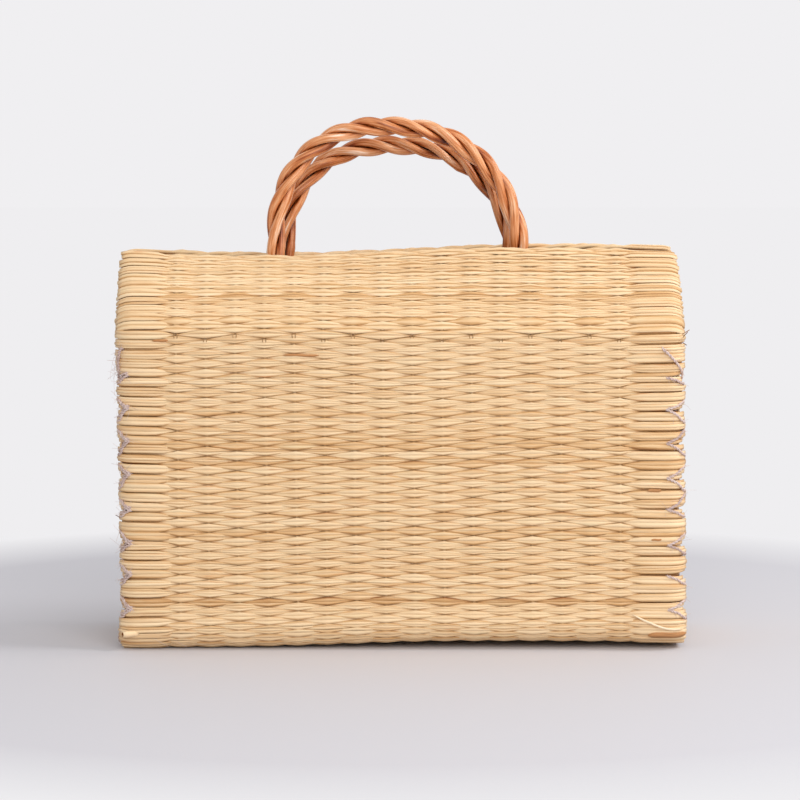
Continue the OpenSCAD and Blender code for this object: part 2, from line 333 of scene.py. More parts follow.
def body_place(u, s):
    """A point on the middle of the folded mat, with the small bends of a hand-made one, and its directions.

    The ends turn in round the corners, the stitches draw them in, and the front foot lifts to the right.
    """
    s = s + weave_drift(u, s)
    y, z, out_y, out_z, down_y, down_z = mat_section(s)
    edge, tight, parting = lacing_pull(u, z)
    y, z, out_y, out_z, down_y, down_z = mat_section(s + parting * out_y)
    sign = np.sign(u)
    bend = np.maximum(np.abs(u) - half_w + corner_r, 0) / corner_r
    pull = np.where(u > 0, right_pull, left_pull)
    x = np.minimum(np.abs(u), half_w - corner_r) + corner_r * np.sin(bend) - pull * tight
    x = sign * (x - edge_draw * edge) + foot_lean * (1 - z / fold_z)
    inward = corner_r * (1 - np.cos(bend)) * np.abs(out_y) + stitch_sink * tight
    bulge = bulge_high * np.sin(u / bulge_across + bulge_phase) * np.sin(s / bulge_along)
    y = y + out_y * (bulge - inward)
    z = z + out_z * bulge
    low_front = np.clip(1 - z / foot_high, 0, 1) ** 2 * np.clip(0.5 - y / (2 * wall_y), 0, 1)
    low_left = np.exp(-((u + half_w) / spread_wide) ** 2) * np.clip(1 - z / spread_high, 0, 1)
    x = x - spread_out * low_left * np.abs(out_y)
    z = z + foot_lift * 0.5 * (1 + np.tanh((u - lift_at) / lift_ease)) * low_front
    lean = bend * np.abs(out_y)
    middle = np.stack([x, y, z], axis=-1)
    out = np.stack([sign * np.sin(lean), out_y * np.cos(lean), out_z * np.cos(lean)], axis=-1)
    down = np.stack([np.zeros_like(x), down_y, down_z], axis=-1)
    return middle, out, down


def new_node(tree, kind, **values):
    """A shader node with its settings and plain inputs."""
    made = tree.nodes.new(kind)
    for key, value in values.items():
        if key in made.inputs:
            made.inputs[key].default_value = value
        else:
            setattr(made, key, value)
    return made


def maths(tree, operation, first, second):
    """A sum, difference or product of two values, each a number or another node's result."""
    made = new_node(tree, "ShaderNodeMath", operation=operation)
    for socket, value in zip(made.inputs, (first, second)):
        if isinstance(value, (int, float)):
            socket.default_value = value
        else:
            tree.links.new(value, socket)
    return made.outputs[0]


def ramp(tree, factor, stops):
    """A colour that runs through its stops as a value grows."""
    made = new_node(tree, "ShaderNodeValToRGB")
    while len(made.color_ramp.elements) < len(stops):
        made.color_ramp.elements.new(0.5)
    for element, (at, colour) in zip(made.color_ramp.elements, stops):
        element.position = at
        element.color = colour
    tree.links.new(factor, made.inputs["Fac"])
    return made.outputs["Color"]


def mixed(tree, factor, first, second):
    """A colour blended towards a plain one. A mix node's colours are its inputs 6 and 7 and its output 2."""
    made = new_node(tree, "ShaderNodeMix", data_type="RGBA", blend_type="MIX")
    tree.links.new(factor, made.inputs["Factor"])
    tree.links.new(first, made.inputs[6])
    made.inputs[7].default_value = second
    return made.outputs[2]


noise_rough = 0.6


def fibre_noise(tree, grain, offset, along, across, detail):
    """Noise drawn out along a reed or rod, different on each one."""
    stretch = new_node(tree, "ShaderNodeVectorMath", operation="MULTIPLY")
    stretch.inputs[1].default_value = (along, across, across)
    shift = new_node(tree, "ShaderNodeVectorMath", operation="ADD")
    noise = new_node(tree, "ShaderNodeTexNoise", Scale=1.0, Detail=detail, Roughness=noise_rough)
    tree.links.new(grain, stretch.inputs[0])
    tree.links.new(stretch.outputs[0], shift.inputs[0])
    tree.links.new(offset, shift.inputs[1])
    tree.links.new(shift.outputs[0], noise.inputs["Vector"])
    return noise.outputs["Fac"]


# The grain of a finish: how often its noise repeats along and across a reed, and how fine it is
near_offset = 83.0
far_offset = 171.0
fine_grain = (60.0, 2.6, 3.0)
broad_grain = (30.0, 0.5, 2.0)
cool_grain = (40.0, 0.7, 1.0)
cool_full = 0.2
cool_none = 0.45
cool_most = 0.55
stain_soft = 0.08
stain_most = 0.75
rough_swing = 0.25
bump_strength = 0.5
dry_gloss = 0.35


def fibre_finish(name, stops, cool, stain, stain_from, stain_grain, streak, rough_low, relief):
    """A plant-fibre finish: a tone for each reed, with the painted shade that the meshes put into it, streaks
    along it, cooler stretches and a few stains.
    """
    material = bpy.data.materials.new(name)
    material.use_nodes = True
    tree = material.node_tree
    shader = tree.nodes["Principled BSDF"]
    grain = new_node(tree, "ShaderNodeAttribute", attribute_name="grain").outputs["Vector"]
    tone = new_node(tree, "ShaderNodeAttribute", attribute_name="tone").outputs["Fac"]
    tint = new_node(tree, "ShaderNodeAttribute", attribute_name="tint").outputs["Fac"]
    near = maths(tree, "MULTIPLY", tint, near_offset)
    far = maths(tree, "MULTIPLY", tint, far_offset)
    fine = fibre_noise(tree, grain, near, *fine_grain)
    broad = fibre_noise(tree, grain, near, *broad_grain)
    patch = fibre_noise(tree, grain, far, *cool_grain)
    marks = fibre_noise(tree, grain, far, *stain_grain)
    fine_part = maths(tree, "MULTIPLY", maths(tree, "SUBTRACT", fine, 0.5), streak)
    broad_part = maths(tree, "MULTIPLY", maths(tree, "SUBTRACT", broad, 0.5), streak)
    factor = maths(tree, "ADD", maths(tree, "ADD", tone, fine_part), broad_part)
    colour = ramp(tree, factor, stops)
    cool_share = ramp(tree, patch, [(cool_full, grey(cool_most)), (cool_none, grey(0.0))])
    colour = mixed(tree, cool_share, colour, cool)
    stain_stops = [(stain_from, grey(0.0)), (stain_from + stain_soft, grey(stain_most))]
    colour = mixed(tree, ramp(tree, marks, stain_stops), colour, stain)
    tree.links.new(colour, shader.inputs["Base Color"])
    rough = maths(tree, "ADD", maths(tree, "MULTIPLY", fine, rough_swing), rough_low)
    tree.links.new(rough, shader.inputs["Roughness"])
    bump = new_node(tree, "ShaderNodeBump", Strength=bump_strength, Distance=relief)
    tree.links.new(fine, bump.inputs["Height"])
    tree.links.new(bump.outputs["Normal"], shader.inputs["Normal"])
    shader.inputs["Specular IOR Level"].default_value = dry_gloss
    return material


reed_finish = fibre_finish(
    "dry_reed",
    stops=[
        (0.0, srgb(140, 80, 30)),
        (0.25, srgb(214, 166, 110)),
        (0.5, srgb(240, 207, 162)),
        (0.75, srgb(247, 219, 179)),
        (1.0, srgb(252, 230, 196)),
    ],
    cool=srgb(236, 214, 170),
    stain=srgb(212, 146, 92),
    stain_from=0.67,
    stain_grain=(40.0, 0.7, 2.0),
    streak=0.42,
    rough_low=0.42,
    relief=0.2 * mm,
)
corner_turn = math.radians(78)
bend_shares = np.array([0.0, 0.33, 0.66, 1.0])
loose_steps = np.array([2.5, 5.0, 8.0, 12.0, 18.0]) * mm


def wall_stations(shares):
    """Places along a wall row, the same for each row: close at the pinches and corners, wider between."""
    bends = corner_r * corner_turn * bend_shares
    left = np.concatenate([corner_r - half_w - bends[::-1], warp_at[0] - loose_steps[::-1]])
    between = (warp_at[:-1, None] + warp_pitch * np.array(shares)[None, :]).ravel()
    right = np.concatenate([warp_at[-1:], warp_at[-1] + loose_steps, half_w - corner_r + bends])
    made = np.concatenate([left, between, right])
    return lambda row_s: made


wall_rows = 60
turn_rows = 8
floor_rows = 28
outside_stations = wall_stations([0.0, 0.1, 0.35, 0.65, 0.9])
inside_stations = wall_stations([0.0, 0.5])
faces = [(1, outside_stations, "_reeds"), (-1, inside_stations, "_inner_reeds")]
down_rows = row_gap + (wall_run - row_gap) / wall_rows * np.arange(wall_rows)
under_rows = wall_run + turn_run / turn_rows * np.arange(turn_rows + 1)
half_rows = np.concatenate([down_rows, under_rows])
flat_rows = wall_run + turn_run + floor_run / (floor_rows + 1) * np.arange(1, floor_rows + 1)
row_at = np.concatenate([half_rows, flat_rows, (mat_run - half_rows)[::-1]])
mat_rows = [(row_s, 1 if r % 2 == 0 else -1) for r, row_s in enumerate(row_at)]
front_end = len(half_rows)
back_start = len(row_at) - len(half_rows)
# Each wall: its rows, the seed of its random draws, the share of rows with three reeds, and sides of a reed
walls = [
    ("front_wall", mat_rows[:front_end], 11, 0.45, 6),
    ("bottom", mat_rows[front_end:back_start], 12, 0.0, 5),
    ("back_wall", mat_rows[back_start:], 13, 0.35, 5),
]
for wall_name, rows, seed, three_share, sides in walls:
    for face, stations, ending in faces:
        wall = weave_part(
            wall_name + ending, body_place, rows, stations, warp_at, finger, seed, three_share, sides, face
        )
        wall.data.materials.append(reed_finish)
        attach(wall, "basket")
        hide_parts("body_mat")

# Warps of the body
# Flat plant twine that runs down the front, under the bottom and up the back, over one row and under
# the next. It shows as a short light bridge in the slit where the reeds are pinched.
warp_half_w = 0.9 * mm
warp_half_t = 0.4 * mm
warp_swing = 1.0 * mm
warp_sides = 4
warp_tones = (0.6, 0.8)
warp_finish = fibre_finish(
    "warp_twine",
    stops=[
        (0.0, srgb(120, 80, 46)),
        (0.4, srgb(180, 138, 92)),
        (0.7, srgb(222, 186, 140)),
        (1.0, srgb(240, 214, 174)),
    ],
    cool=srgb(206, 180, 142),
    stain=srgb(150, 104, 66),
    stain_from=0.66,
    stain_grain=(40.0, 0.7, 2.0),
    streak=0.5,
    rough_low=0.6,
    relief=0.2 * mm,
)


def warp_tubes(place, row_places, first_side, warps, seed):
    """The warps of a mat: each goes over the rows that it pinches and behind the others."""
    rng = np.random.default_rng(seed)
    halfway = (row_places[1:] + row_places[:-1]) / 2
    s = np.sort(np.concatenate([row_places, halfway]))
    beat = np.cos(math.pi * np.arange(len(s)) / 2)
    tubes, tones, tints = [], [], []
    for number, at in enumerate(warps):
        middle, out, down = place(np.full_like(s, at), s)
        swing = -first_side * (-1) ** number * beat
        middle = middle + out * (warp_swing * swing)[:, None]
        across = np.cross(down, out)
        hand = np.sign(np.dot(np.cross(out[0], across[0]), middle[1] - middle[0]))
        angle = hand * ring_angles(warp_sides)
        tubes.append(oval_rings(middle, out, across, warp_half_t, warp_half_w, angle))
        tones.append(rng.uniform(*warp_tones))
        tints.append(rng.random())
    return tubes, tones, tints


body_warps = mesh_of_tubes("body_warps", *warp_tubes(body_place, row_at, 1, warp_at, seed=21))
body_warps.data.materials.append(warp_finish)
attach(body_warps, "basket")

# End panels
# Two upright mats of the same reed, woven across the bag on four warps and cut to a gable under the
# flaps. They stand inside the turned-in reed ends of the walls and are laced to them.
lean_low = math.radians(27)
lean_high = math.radians(52.5)
handle_r = 5.6 * mm
foot_out = 7.5 * mm
edge_clear = 0.4 * mm
flap_edge_out = foot_out + handle_r + edge_clear
flap_run = wall_y - flap_edge_out - mat_t / 2 * math.cos(lean_high)
flap_r = flap_run / (math.cos(lean_low) - math.cos(lean_high))
flap_mid_out = wall_y - flap_r * math.cos(lean_low)
flap_mid_z = fold_z - flap_r * math.sin(lean_low)
flap_edge_z = flap_mid_z + (flap_r - mat_t / 2) * math.sin(lean_high)
panel_low, panel_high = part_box("right_end_panel")
panel_x = panel_high[0] - mat_t / 2
panel_half = panel_high[1]
panel_run = panel_high[2] - panel_low[2]
gable_clear = 0.5 * mm
gable_r = flap_r - mat_t / 2 - gable_clear
panel_warp_count = 4
panel_warps = warp_pitch * (np.arange(panel_warp_count) - (panel_warp_count - 1) / 2)
panel_finger = 7 * mm
panel_row_pair = 5.4 * mm
panel_rows = 2 * round(panel_run / panel_row_pair)
panel_steps = np.array([0.0, 0.15, 0.5, 0.85])
panel_loose = np.array([2.0, 4.5, 7.0, 14.0]) * mm
panel_sides = 5
panel_three_share = 0.4
station_clear = 1 * mm
warpless_rows = 12
wander_high = 0.5 * mm
wander_across = 17 * mm
wander_along = 29 * mm
hollow_deep = 0.6 * mm
hollow_across = 40 * mm
hollow_along = 33 * mm


def panel_half_at(drop):
    """Half the length of a row: the panel's own, or less under the flap and in the mat's bottom turn."""
    z = panel_high[2] - drop
    under_flap = math.sqrt(gable_r ** 2 - (max(z, fold_z) - flap_mid_z) ** 2) + flap_mid_out
    round_r = bottom_r - panel_low[2]
    in_turn = mat_high[1] - bottom_r + math.sqrt(max(round_r ** 2 - max(bottom_r - z, 0) ** 2, 0))
    return min(panel_half, under_flap, in_turn)


def panel_stations(drop):
    """Places along a row of an end panel, as far as the row goes."""
    half = panel_half_at(drop)
    between = (panel_warps[:-1, None] + warp_pitch * panel_steps[None, :]).ravel()
    left = panel_warps[0] - panel_loose
    all_at = np.concatenate([left, between, panel_warps[-1:], panel_warps[-1] + panel_loose])
    kept = np.sort(all_at[np.abs(all_at) < half - station_clear])
    return np.concatenate([[-half], kept, [half]])


def panel_place(side):
    """The middle of an end panel, a little hollow here and there."""
    def place(u, drop):
        wander = wander_high * np.sin(u / wander_across + drop / wander_along + side)
        hollow = hollow_deep * np.sin(drop / hollow_along + u / hollow_across)
        flat = np.zeros_like(u)
        middle = np.stack([side * (panel_x + hollow), u, panel_high[2] - drop + wander], axis=-1)
        out = np.stack([flat + side, flat, flat], axis=-1)
        down = np.stack([flat, flat, flat - 1.0], axis=-1)
        return middle, out, down
    return place


for panel_name, side, seed in (("left_end_panel", -1.0, 31), ("right_end_panel", 1.0, 32)):
    step = panel_run / panel_rows
    rows = [(r * step, side if r % 2 == 0 else -side) for r in range(1, panel_rows)]
    place = panel_place(side)
    for face, ending in ((1, "_reeds"), (-1, "_inner_reeds")):
        panel = weave_part(
            panel_name + ending, place, rows, panel_stations, panel_warps, panel_finger, seed,
            panel_three_share, panel_sides, face
        )
        panel.data.materials.append(reed_finish)
        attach(panel, "basket")
        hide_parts(panel_name)
    first_side = rows[warpless_rows][1]
    row_places = np.array([row_s for row_s, _ in rows[warpless_rows:]])
    panel_twine = mesh_of_tubes(
        panel_name + "_warps", *warp_tubes(place, row_places, first_side, panel_warps, seed)
    )
    panel_twine.data.materials.append(warp_finish)
    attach(panel_twine, "basket")

# Fold lines
# The row of reeds that lies in each fold, where the mat turns in over the top of the bag. The flap turns
# on it, and pairs of thin threads, the opened warps, cross the fold and show as short double dashes.
thread_r = 0.26 * mm
thread_apart = 0.95 * mm
thread_gather = 0.3
thread_reach = 2.4 * mm
thread_short = 0.7
thread_sink = 0.2 * mm
thread_dip = 1.3 * mm
thread_steps = 7
thread_sides = 5
# Painted shade: the fold threads take darker tones of the warp twine than the warps of the walls.
thread_shade_tones = (0.2, 0.42)


def fold_row_place(side):
    """The wall's own line turned half way towards the flap, about the fold."""
    def place(u, s):
        middle, out, down = body_place(u, s)
        tilt = lean_low / 2
        out = out * math.cos(tilt) - down * math.sin(tilt)
        down = np.stack([0 * u, 0 * u + side * math.sin(tilt), 0 * u - math.cos(tilt)], axis=-1)
        return middle, out, down
    return place


def fold_threads(name, side, first_side, seed):
    """The pairs of threads at each warp: one pair over the fold row, or two over the rows beside it."""
    rng = np.random.default_rng(seed)
    angle = ring_angles(thread_sides)
    ring = thread_r * np.stack([np.cos(angle), np.sin(angle), 0 * angle], axis=-1)
    t = np.linspace(-1, 1, thread_steps)
    swell = mat_t / 2 - thread_sink - thread_dip * t ** 4
    tubes, tones, tints = [], [], []
    for number, at in enumerate(warp_at):
        on_fold = first_side * (-1) ** number < 0
        for centre in ((0.0,) if on_fold else (row_gap, -row_gap)):
            for apart in (-thread_apart, thread_apart):
                up = centre + thread_reach * (1.0 if on_fold else thread_short) * t
                lean_in = np.maximum(up, 0) * math.tan(lean_low)
                x = at + apart * (1 - thread_gather * t ** 2)
                path = np.stack([x, side * (wall_y + swell - lean_in), fold_z + up], axis=-1)
                tubes.append(path[:, None, :] + ring[None, :, :])
                tones.append(rng.uniform(*thread_shade_tones))
                tints.append(rng.random())
    return mesh_of_tubes(name, tubes, tones, tints)


for fold_name, row_s, side, first_side, seed in (("front", 0.0, -1, -1, 44), ("back", mat_run, 1, 1, 48)):
    rows = [(row_s, first_side)]
    fold = weave_part(
        fold_name + "_fold_row", fold_row_place(side), rows, outside_stations, warp_at, finger, seed,
        three_share=0.0, sides=6, face=1
    )
    fold.data.materials.append(reed_finish)
    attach(fold, "basket")
    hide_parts(fold_name + "_fold_reeds")
    threads = fold_threads(fold_name + "_fold_threads", side, first_side, seed)
    threads.data.materials.append(warp_finish)
    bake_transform(threads)

# Lid flaps
# The upper parts of the same mat, which lean in over the bag from the folds to a slot along the middle.
# Two twisted reeds close each free edge.
flap_len = flap_r * (lean_high - lean_low)
flap_rows = 20
flap_sides = 6
flap_three_share = 0.45
ridge_base = 0.4 * mm
ridge_step = 3.7 * mm
ridge_step_at = 10 * mm
ridge_step_w = 45 * mm
# Each hump of the free edge: where it is, its width and its height
ridge_humps = [
    (half_w, 38 * mm, -2.8 * mm),
    (-half_w, 38 * mm, 4.0 * mm),
    (-17 * mm, 25 * mm, 1.0 * mm),
]


def ridge_rise(u):
    """How far the free edge of a flap stands above its plain line: a step to the right, and humps on it."""
    rise = ridge_step * (1 + np.tanh((u - ridge_step_at) / ridge_step_w))
    for hump_at, hump_w, hump_high in ridge_humps:
        rise = rise + hump_high * np.exp(-((u - hump_at) / hump_w) ** 2)
    return rise + ridge_base


past_edge = 1.1
corner_open = 0.85
ridge_power = 1.6
fold_swell = 0.3 * mm
fold_swell_reach = 5 * mm
fold_narrow = 0.08
left_narrow = 0.3
right_narrow = 0.45


def flap_place(side):
    """The middle of a flap, arched from the fold up. Its corners open out towards the free edge."""
    def place(u, up):
        share = np.clip(up / flap_len, 0, past_edge)
        drift = -weave_drift(u, -up) if side < 0 else weave_drift(u, mat_run + up)
        open_r = corner_r / (1 - corner_open * np.minimum(share, 1))
        past = np.maximum(np.abs(u) - half_w + corner_r, 0)
        bend = past / open_r
        sign = np.sign(u)
        a = lean_low + (up + drift) / flap_r
        inward = open_r * (1 - np.cos(bend))
        swell = fold_swell * np.exp(-up / fold_swell_reach)
        radius = flap_r - inward + ridge_rise(u) * share ** ridge_power + swell
        narrow = np.where(u > 0, right_narrow, left_narrow) * share + fold_narrow
        x = sign * (np.minimum(np.abs(u), half_w - corner_r) + open_r * np.sin(bend) - narrow * past)
        y = side * (flap_mid_out + radius * np.cos(a))
        z = flap_mid_z + radius * np.sin(a)
        out_y = side * np.cos(a) * np.cos(bend)
        out_z = np.sin(a) * np.cos(bend)
        middle = np.stack([x, y, z], axis=-1)
        out = np.stack([sign * np.sin(bend), out_y, out_z], axis=-1)
        down = np.stack([0 * u, side * np.sin(a), -np.cos(a)], axis=-1)
        return middle, out, down
    return place


edge_in = 1.1 * mm
edge_lay = 2 * warp_pitch
edge_reed_r = 1.25 * mm
edge_twist_r = 0.8 * mm
edge_flat = 0.9
edge_knot = 0.45
edge_knot_w = 2.5 * mm
edge_end_thin = 0.25
edge_steps = 170
edge_sides = 8
edge_tones = (0.4, 0.48)
edge_crease_shade_depth = 0.3
edge_crease_shade_r = edge_twist_r + edge_reed_r / 2


def edge_twist(place, seed):
    """The two reeds along a flap's free edge: twisted, knotted at the end warps and straight beyond them,
    with painted shade where they meet.
    """
    rng = np.random.default_rng(seed)
    u = np.linspace(outside_stations(0.0)[0], outside_stations(0.0)[-1], edge_steps)
    middle, out, down = place(u, np.full_like(u, flap_len - edge_in))
    loose = weave_phase(u, warp_at, finger)[1]
    knots = sum(np.exp(-((u - at) / edge_knot_w) ** 2) for at in (warp_at[0], warp_at[-1]))
    turn = 2 * math.pi * np.clip(u, warp_at[0], warp_at[-1]) / edge_lay
    reed_r = edge_reed_r * (1 + edge_knot * knots - edge_end_thin * loose)
    tubes, tones, tints = [], [], []
    for number in range(2):
        lay = turn + math.pi * number
        line = middle + edge_twist_r * (np.cos(lay)[:, None] * out + np.sin(lay)[:, None] * down)
        rings = flat_rings(line, out, down, reed_r, reed_r * edge_flat, edge_sides)[0]
        from_axis = np.linalg.norm(rings - middle[:, None, :], axis=2)
        # Painted shade: each reed is darker on the side near the twist's middle line, where the two press
        # together.
        crease_shade = np.clip(1 - from_axis / edge_crease_shade_r, 0, 1)
        tubes.append(rings)
        tones.append(rng.uniform(*edge_tones) - edge_crease_shade_depth * crease_shade)
        tints.append(rng.random())
    return tubes, tones, tints


for flap_name, body, side, seed in (("front_flap", "front_lid", -1, 51), ("back_flap", "back_lid", 1, 52)):
    step = (flap_len - row_gap) / flap_rows
    rows = [(row_gap + r * step, -side if r % 2 == 0 else side) for r in range(flap_rows)]
    place = flap_place(side)
    for face, stations, ending in faces:
        flap = weave_part(
            flap_name + ending, place, rows, stations, warp_at, finger, seed,
            flap_three_share, flap_sides, face
        )
        flap.data.materials.append(reed_finish)
        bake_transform(flap)
        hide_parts(flap_name)
    flap_edge = mesh_of_tubes(flap_name + "_edge", *edge_twist(place, seed))
    flap_edge.data.materials.append(reed_finish)
    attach(flap_edge, body)
    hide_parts(flap_name)
    row_places = np.array([row_s for row_s, _ in rows])
    flap_twine = mesh_of_tubes(flap_name + "_warps", *warp_tubes(place, row_places, -side, warp_at, seed))
    flap_twine.data.materials.append(warp_finish)
    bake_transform(flap_twine)

# Handles
# Two arches, each of three peeled willow rods twisted together, tighter at the top than at the feet.
# The feet go down through the slot and are tied to the flap on their own side.
rod_count = 3
rod_r = 2.6 * mm
rod_sides = 14
twist_r = 3.1 * mm
twist_lay = 65 * mm
twist_ease = 0.28
foot_len = 24 * mm
foot_steps = 14
arch_power = 2.3
arch_steps = 190
handle_shift = -0.5 * mm
willow_finish = fibre_finish(
    "peeled_willow",
    stops=[
        (0.0, srgb(80, 26, 2)),
        (0.25, srgb(154, 74, 28)),
        (0.5, srgb(208, 128, 74)),
        (0.75, srgb(234, 168, 118)),
        (1.0, srgb(252, 222, 196)),
    ],
    cool=srgb(228, 166, 122),
    stain=srgb(116, 58, 26),
    stain_from=0.64,
    stain_grain=(70.0, 3.0, 2.0),
    streak=1.25,
    rough_low=0.16,
    relief=0.35 * mm,
)


def arch_line(side, span, rise, splay, skew):
    """The middle line of a handle: up from one foot, over the arch and down to the other foot."""
    a = np.linspace(math.pi, 0, arch_steps)
    up = np.abs(np.sin(a)) ** (2 / arch_power)
    flat = np.sign(np.cos(a)) * np.abs(np.cos(a)) ** (2 / arch_power)
    x = handle_shift + span * flat + skew * up
    y = side * (foot_out + splay * up ** 2)
    arch = np.stack([x, y, flap_edge_z + rise * up], axis=-1)
    drop = np.linspace(foot_len, 0, foot_steps, endpoint=False)
    foot = np.stack([0 * drop, 0 * drop + side * foot_out, flap_edge_z - drop], axis=-1)
    left = foot + np.array([handle_shift - span, 0, 0])
    right = foot[::-1] + np.array([handle_shift + span, 0, 0])
    return np.concatenate([left, arch, right])


def path_frame(line, across):
    """Length along a path, and the two directions square to it at each point."""
    steps = np.linalg.norm(np.diff(line, axis=0), axis=1)
    run = np.concatenate([[0.0], np.cumsum(steps)])
    ahead = np.gradient(line, axis=0)
    ahead = ahead / np.linalg.norm(ahead, axis=1)[:, None]
    first = np.array(across) - (ahead @ np.array(across))[:, None] * ahead
    first = first / np.linalg.norm(first, axis=1)[:, None]
    return run, first, np.cross(ahead, first)


backward = (0.0, 1.0, 0.0)
turn_stray = 0.08
turn_wave = 23 * mm
swell_broad = 0.05
swell_broad_wave = 31 * mm
swell_fine = 0.03
swell_fine_wave = 9 * mm
knot_count = 3
knot_zone = (0.1, 0.9)
knot_swell = 0.12
knot_w = 2.2 * mm
rod_oval = 0.05
rod_ribs = 5
rod_rib_high = 0.03
rod_tones = (0.4, 0.62)
crease_shade_from = 0.1
crease_shade_soft = 0.7
crease_shade_depth = 0.55


def rod_rings(line, number, rng):
    """One rod of a handle, wound round the middle line, and its tone, with painted shade where the rods meet.
    """
    run, first, second = path_frame(line, backward)
    whole = run[-1]
    eased = run - twist_ease * whole / (2 * math.pi) * np.sin(2 * math.pi * run / whole)
    turn = 2 * math.pi * (number / rod_count + eased / twist_lay)
    turn = turn + turn_stray * np.sin(run / turn_wave + rng.uniform(*any_phase))
    middle = line + twist_r * (np.cos(turn)[:, None] * first + np.sin(turn)[:, None] * second)
    swell = 1 + swell_broad * np.sin(run / swell_broad_wave + rng.uniform(*any_phase))
    swell = swell + swell_fine * np.sin(run / swell_fine_wave)
    for knot in rng.uniform(*knot_zone, knot_count) * whole:
        swell = swell + knot_swell * np.exp(-((run - knot) / knot_w) ** 2)
    angle = ring_angles(rod_sides)
    shape = 1 + rod_oval * np.cos(2 * angle + rng.uniform(*any_phase))
    shape = shape + rod_rib_high * np.cos(rod_ribs * angle + rng.uniform(*any_phase))
    across = rod_r * swell[:, None] * (shape * np.cos(angle))[None, :]
    other = rod_r * swell[:, None] * (shape * np.sin(angle))[None, :]
    rings = middle[:, None, :] + across[:, :, None] * first[:, None, :]
    rings = rings + other[:, :, None] * second[:, None, :]
    # Painted shade: each rod is darker on the side that faces the other rods, where they press together.
    crease_shade = np.clip((-np.cos(angle[None, :] - turn[:, None]) - crease_shade_from) / crease_shade_soft, 0, 1)
    return rings, rng.uniform(*rod_tones) - crease_shade_depth * crease_shade


rod_seed = 61
# Each handle: its side, half its span, its rise, how far it leans out at the top, and its lean to the side
handles = [
    ("front", -1, 70.5 * mm, 77.5 * mm, 3 * mm, -6 * mm),
    ("back", 1, 65.5 * mm, 66 * mm, 9 * mm, -3.5 * mm),
]
for handle_name, side, span, rise, splay, skew in handles:
    rng = np.random.default_rng(rod_seed + side)
    line = arch_line(side, span, rise, splay, skew)
    for number in range(rod_count):
        node_name = f"{handle_name}_handle_rod_{number + 1}"
        rings, tone = rod_rings(line, number, rng)
        rod = mesh_of_tubes(node_name + "_willow", [rings], [tone], [rng.random()])
        rod.data.materials.append(willow_finish)
        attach(rod, handle_name + "_lid")
        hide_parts(node_name)

# Lashings of the handles
# Four turns of two-ply plant twine round each foot, just under the flap's edge, drawn tight against
# the edge reeds.
upward = (0.0, 0.0, 1.0)
ply_count = 2
ply_r = 0.5 * mm
ply_out = 0.42 * mm
ply_lay = 4.2 * mm
ply_sides = 5
ply_tones = (0.6, 0.82)
lash_turns = 4
lash_turn_steps = 24
lash_step = 1.5 * mm
lash_out = 0.8 * mm
lash_r = handle_r + lash_out
lash_seed = 71
twine_finish = fibre_finish(
    "plant_twine",
    stops=[
        (0.0, srgb(124, 98, 88)),
        (0.4, srgb(182, 156, 146)),
        (0.7, srgb(210, 186, 176)),
        (1.0, srgb(234, 216, 206)),
    ],
    cool=srgb(200, 184, 186),
    stain=srgb(158, 126, 108),
    stain_from=0.66,
    stain_grain=(60.0, 1.5, 2.0),
    streak=0.6,
    rough_low=0.62,
    relief=0.2 * mm,
)


def twine_plies(line, across, rng, tubes, tones, tints):
    """Adds the two twisted plies of a length of twine."""
    run, first, second = path_frame(line, across)
    start = rng.uniform(*any_phase)
    tint = rng.random()
    for ply in range(ply_count):
        turn = start + math.pi * ply + 2 * math.pi * run / ply_lay
        middle = line + ply_out * (np.cos(turn)[:, None] * first + np.sin(turn)[:, None] * second)
        tubes.append(oval_rings(middle, first, second, ply_r, ply_r, ring_angles(ply_sides)))
        tones.append(rng.uniform(*ply_tones))
        tints.append(tint)


for handle_name, side, span, *_ in handles:
    for end_name, end in (("left", -1), ("right", 1)):
        rng = np.random.default_rng(lash_seed + 2 * side + end)
        t = np.linspace(0, lash_turns, lash_turn_steps * lash_turns)
        lash_x = handle_shift + end * span + lash_r * np.cos(2 * math.pi * t)
        lash_y = side * foot_out + lash_r * np.sin(2 * math.pi * t)
        line = np.stack([lash_x, lash_y, flap_edge_z - lash_step * t], axis=-1)
        twine = ([], [], [])
        twine_plies(line, upward, rng, *twine)
        lashing = mesh_of_tubes(f"{handle_name}_{end_name}_lashing_twine", *twine)
        lashing.data.materials.append(twine_finish)
        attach(lashing, handle_name + "_lid")
        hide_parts(f"{handle_name}_{end_name}_lashing")

# Corner and bottom lacing
# Two-ply plant twine, whipped over the turned-in reed ends and into the end panels. Every stitch draws
# the reeds into a round bundle, and loose fibres stand off the twine. Left is -1 and right is 1 below.
stitch_insets = {-1: 4.8 * mm, 1: 8 * mm}
stitch_drop = 7 * mm
stitch_proud = 2.9 * mm
stitch_uneven = 0.4 * mm
hole_in = 2 * mm
hole_proud = 0.2 * mm
panel_proud = 3.3 * mm
panel_sink = 0.5 * mm
panel_drop = 1.1
drop_spread = (0.5, 1.25)
crossed_share = 0.65
strands = {-1: 2, 1: 1}
strand_apart = 1.3 * mm
strand_shorter = 0.8
top_insets = {-1: -2 * mm, 1: 3 * mm}
corner_step = 0.7 * mm
corner_seed = 81


def smooth_path(points, spacing):
    """A curve through points, cut into short steps."""
    points = np.array(points)
    padded = np.concatenate([2 * points[:1] - points[1:2], points, 2 * points[-1:] - points[-2:-1]])
    made = []
    for i in range(1, len(padded) - 2):
        a, b, c, d = padded[i - 1], padded[i], padded[i + 1], padded[i + 2]
        count = max(2, int(np.linalg.norm(c - b) / spacing))
        t = np.arange(count)[:, None] / count
        made.append(b + 0.5 * t * (c - a + t * (2 * a - 5 * b + 4 * c - d + t * (3 * (b - c) + d - a))))
    made.append(padded[-2:-1])
    return np.concatenate(made)


def wall_point(x_sign, side, inset, z, proud):
    """A point over the outside of a wall near a corner, or round the corner where inset is below zero."""
    s = fold_z - z if side < 0 else mat_run - (fold_z - z)
    middle, out, down = body_place(np.array([x_sign * (half_w - inset)]), np.array([s]))
    return (middle + out * proud)[0]


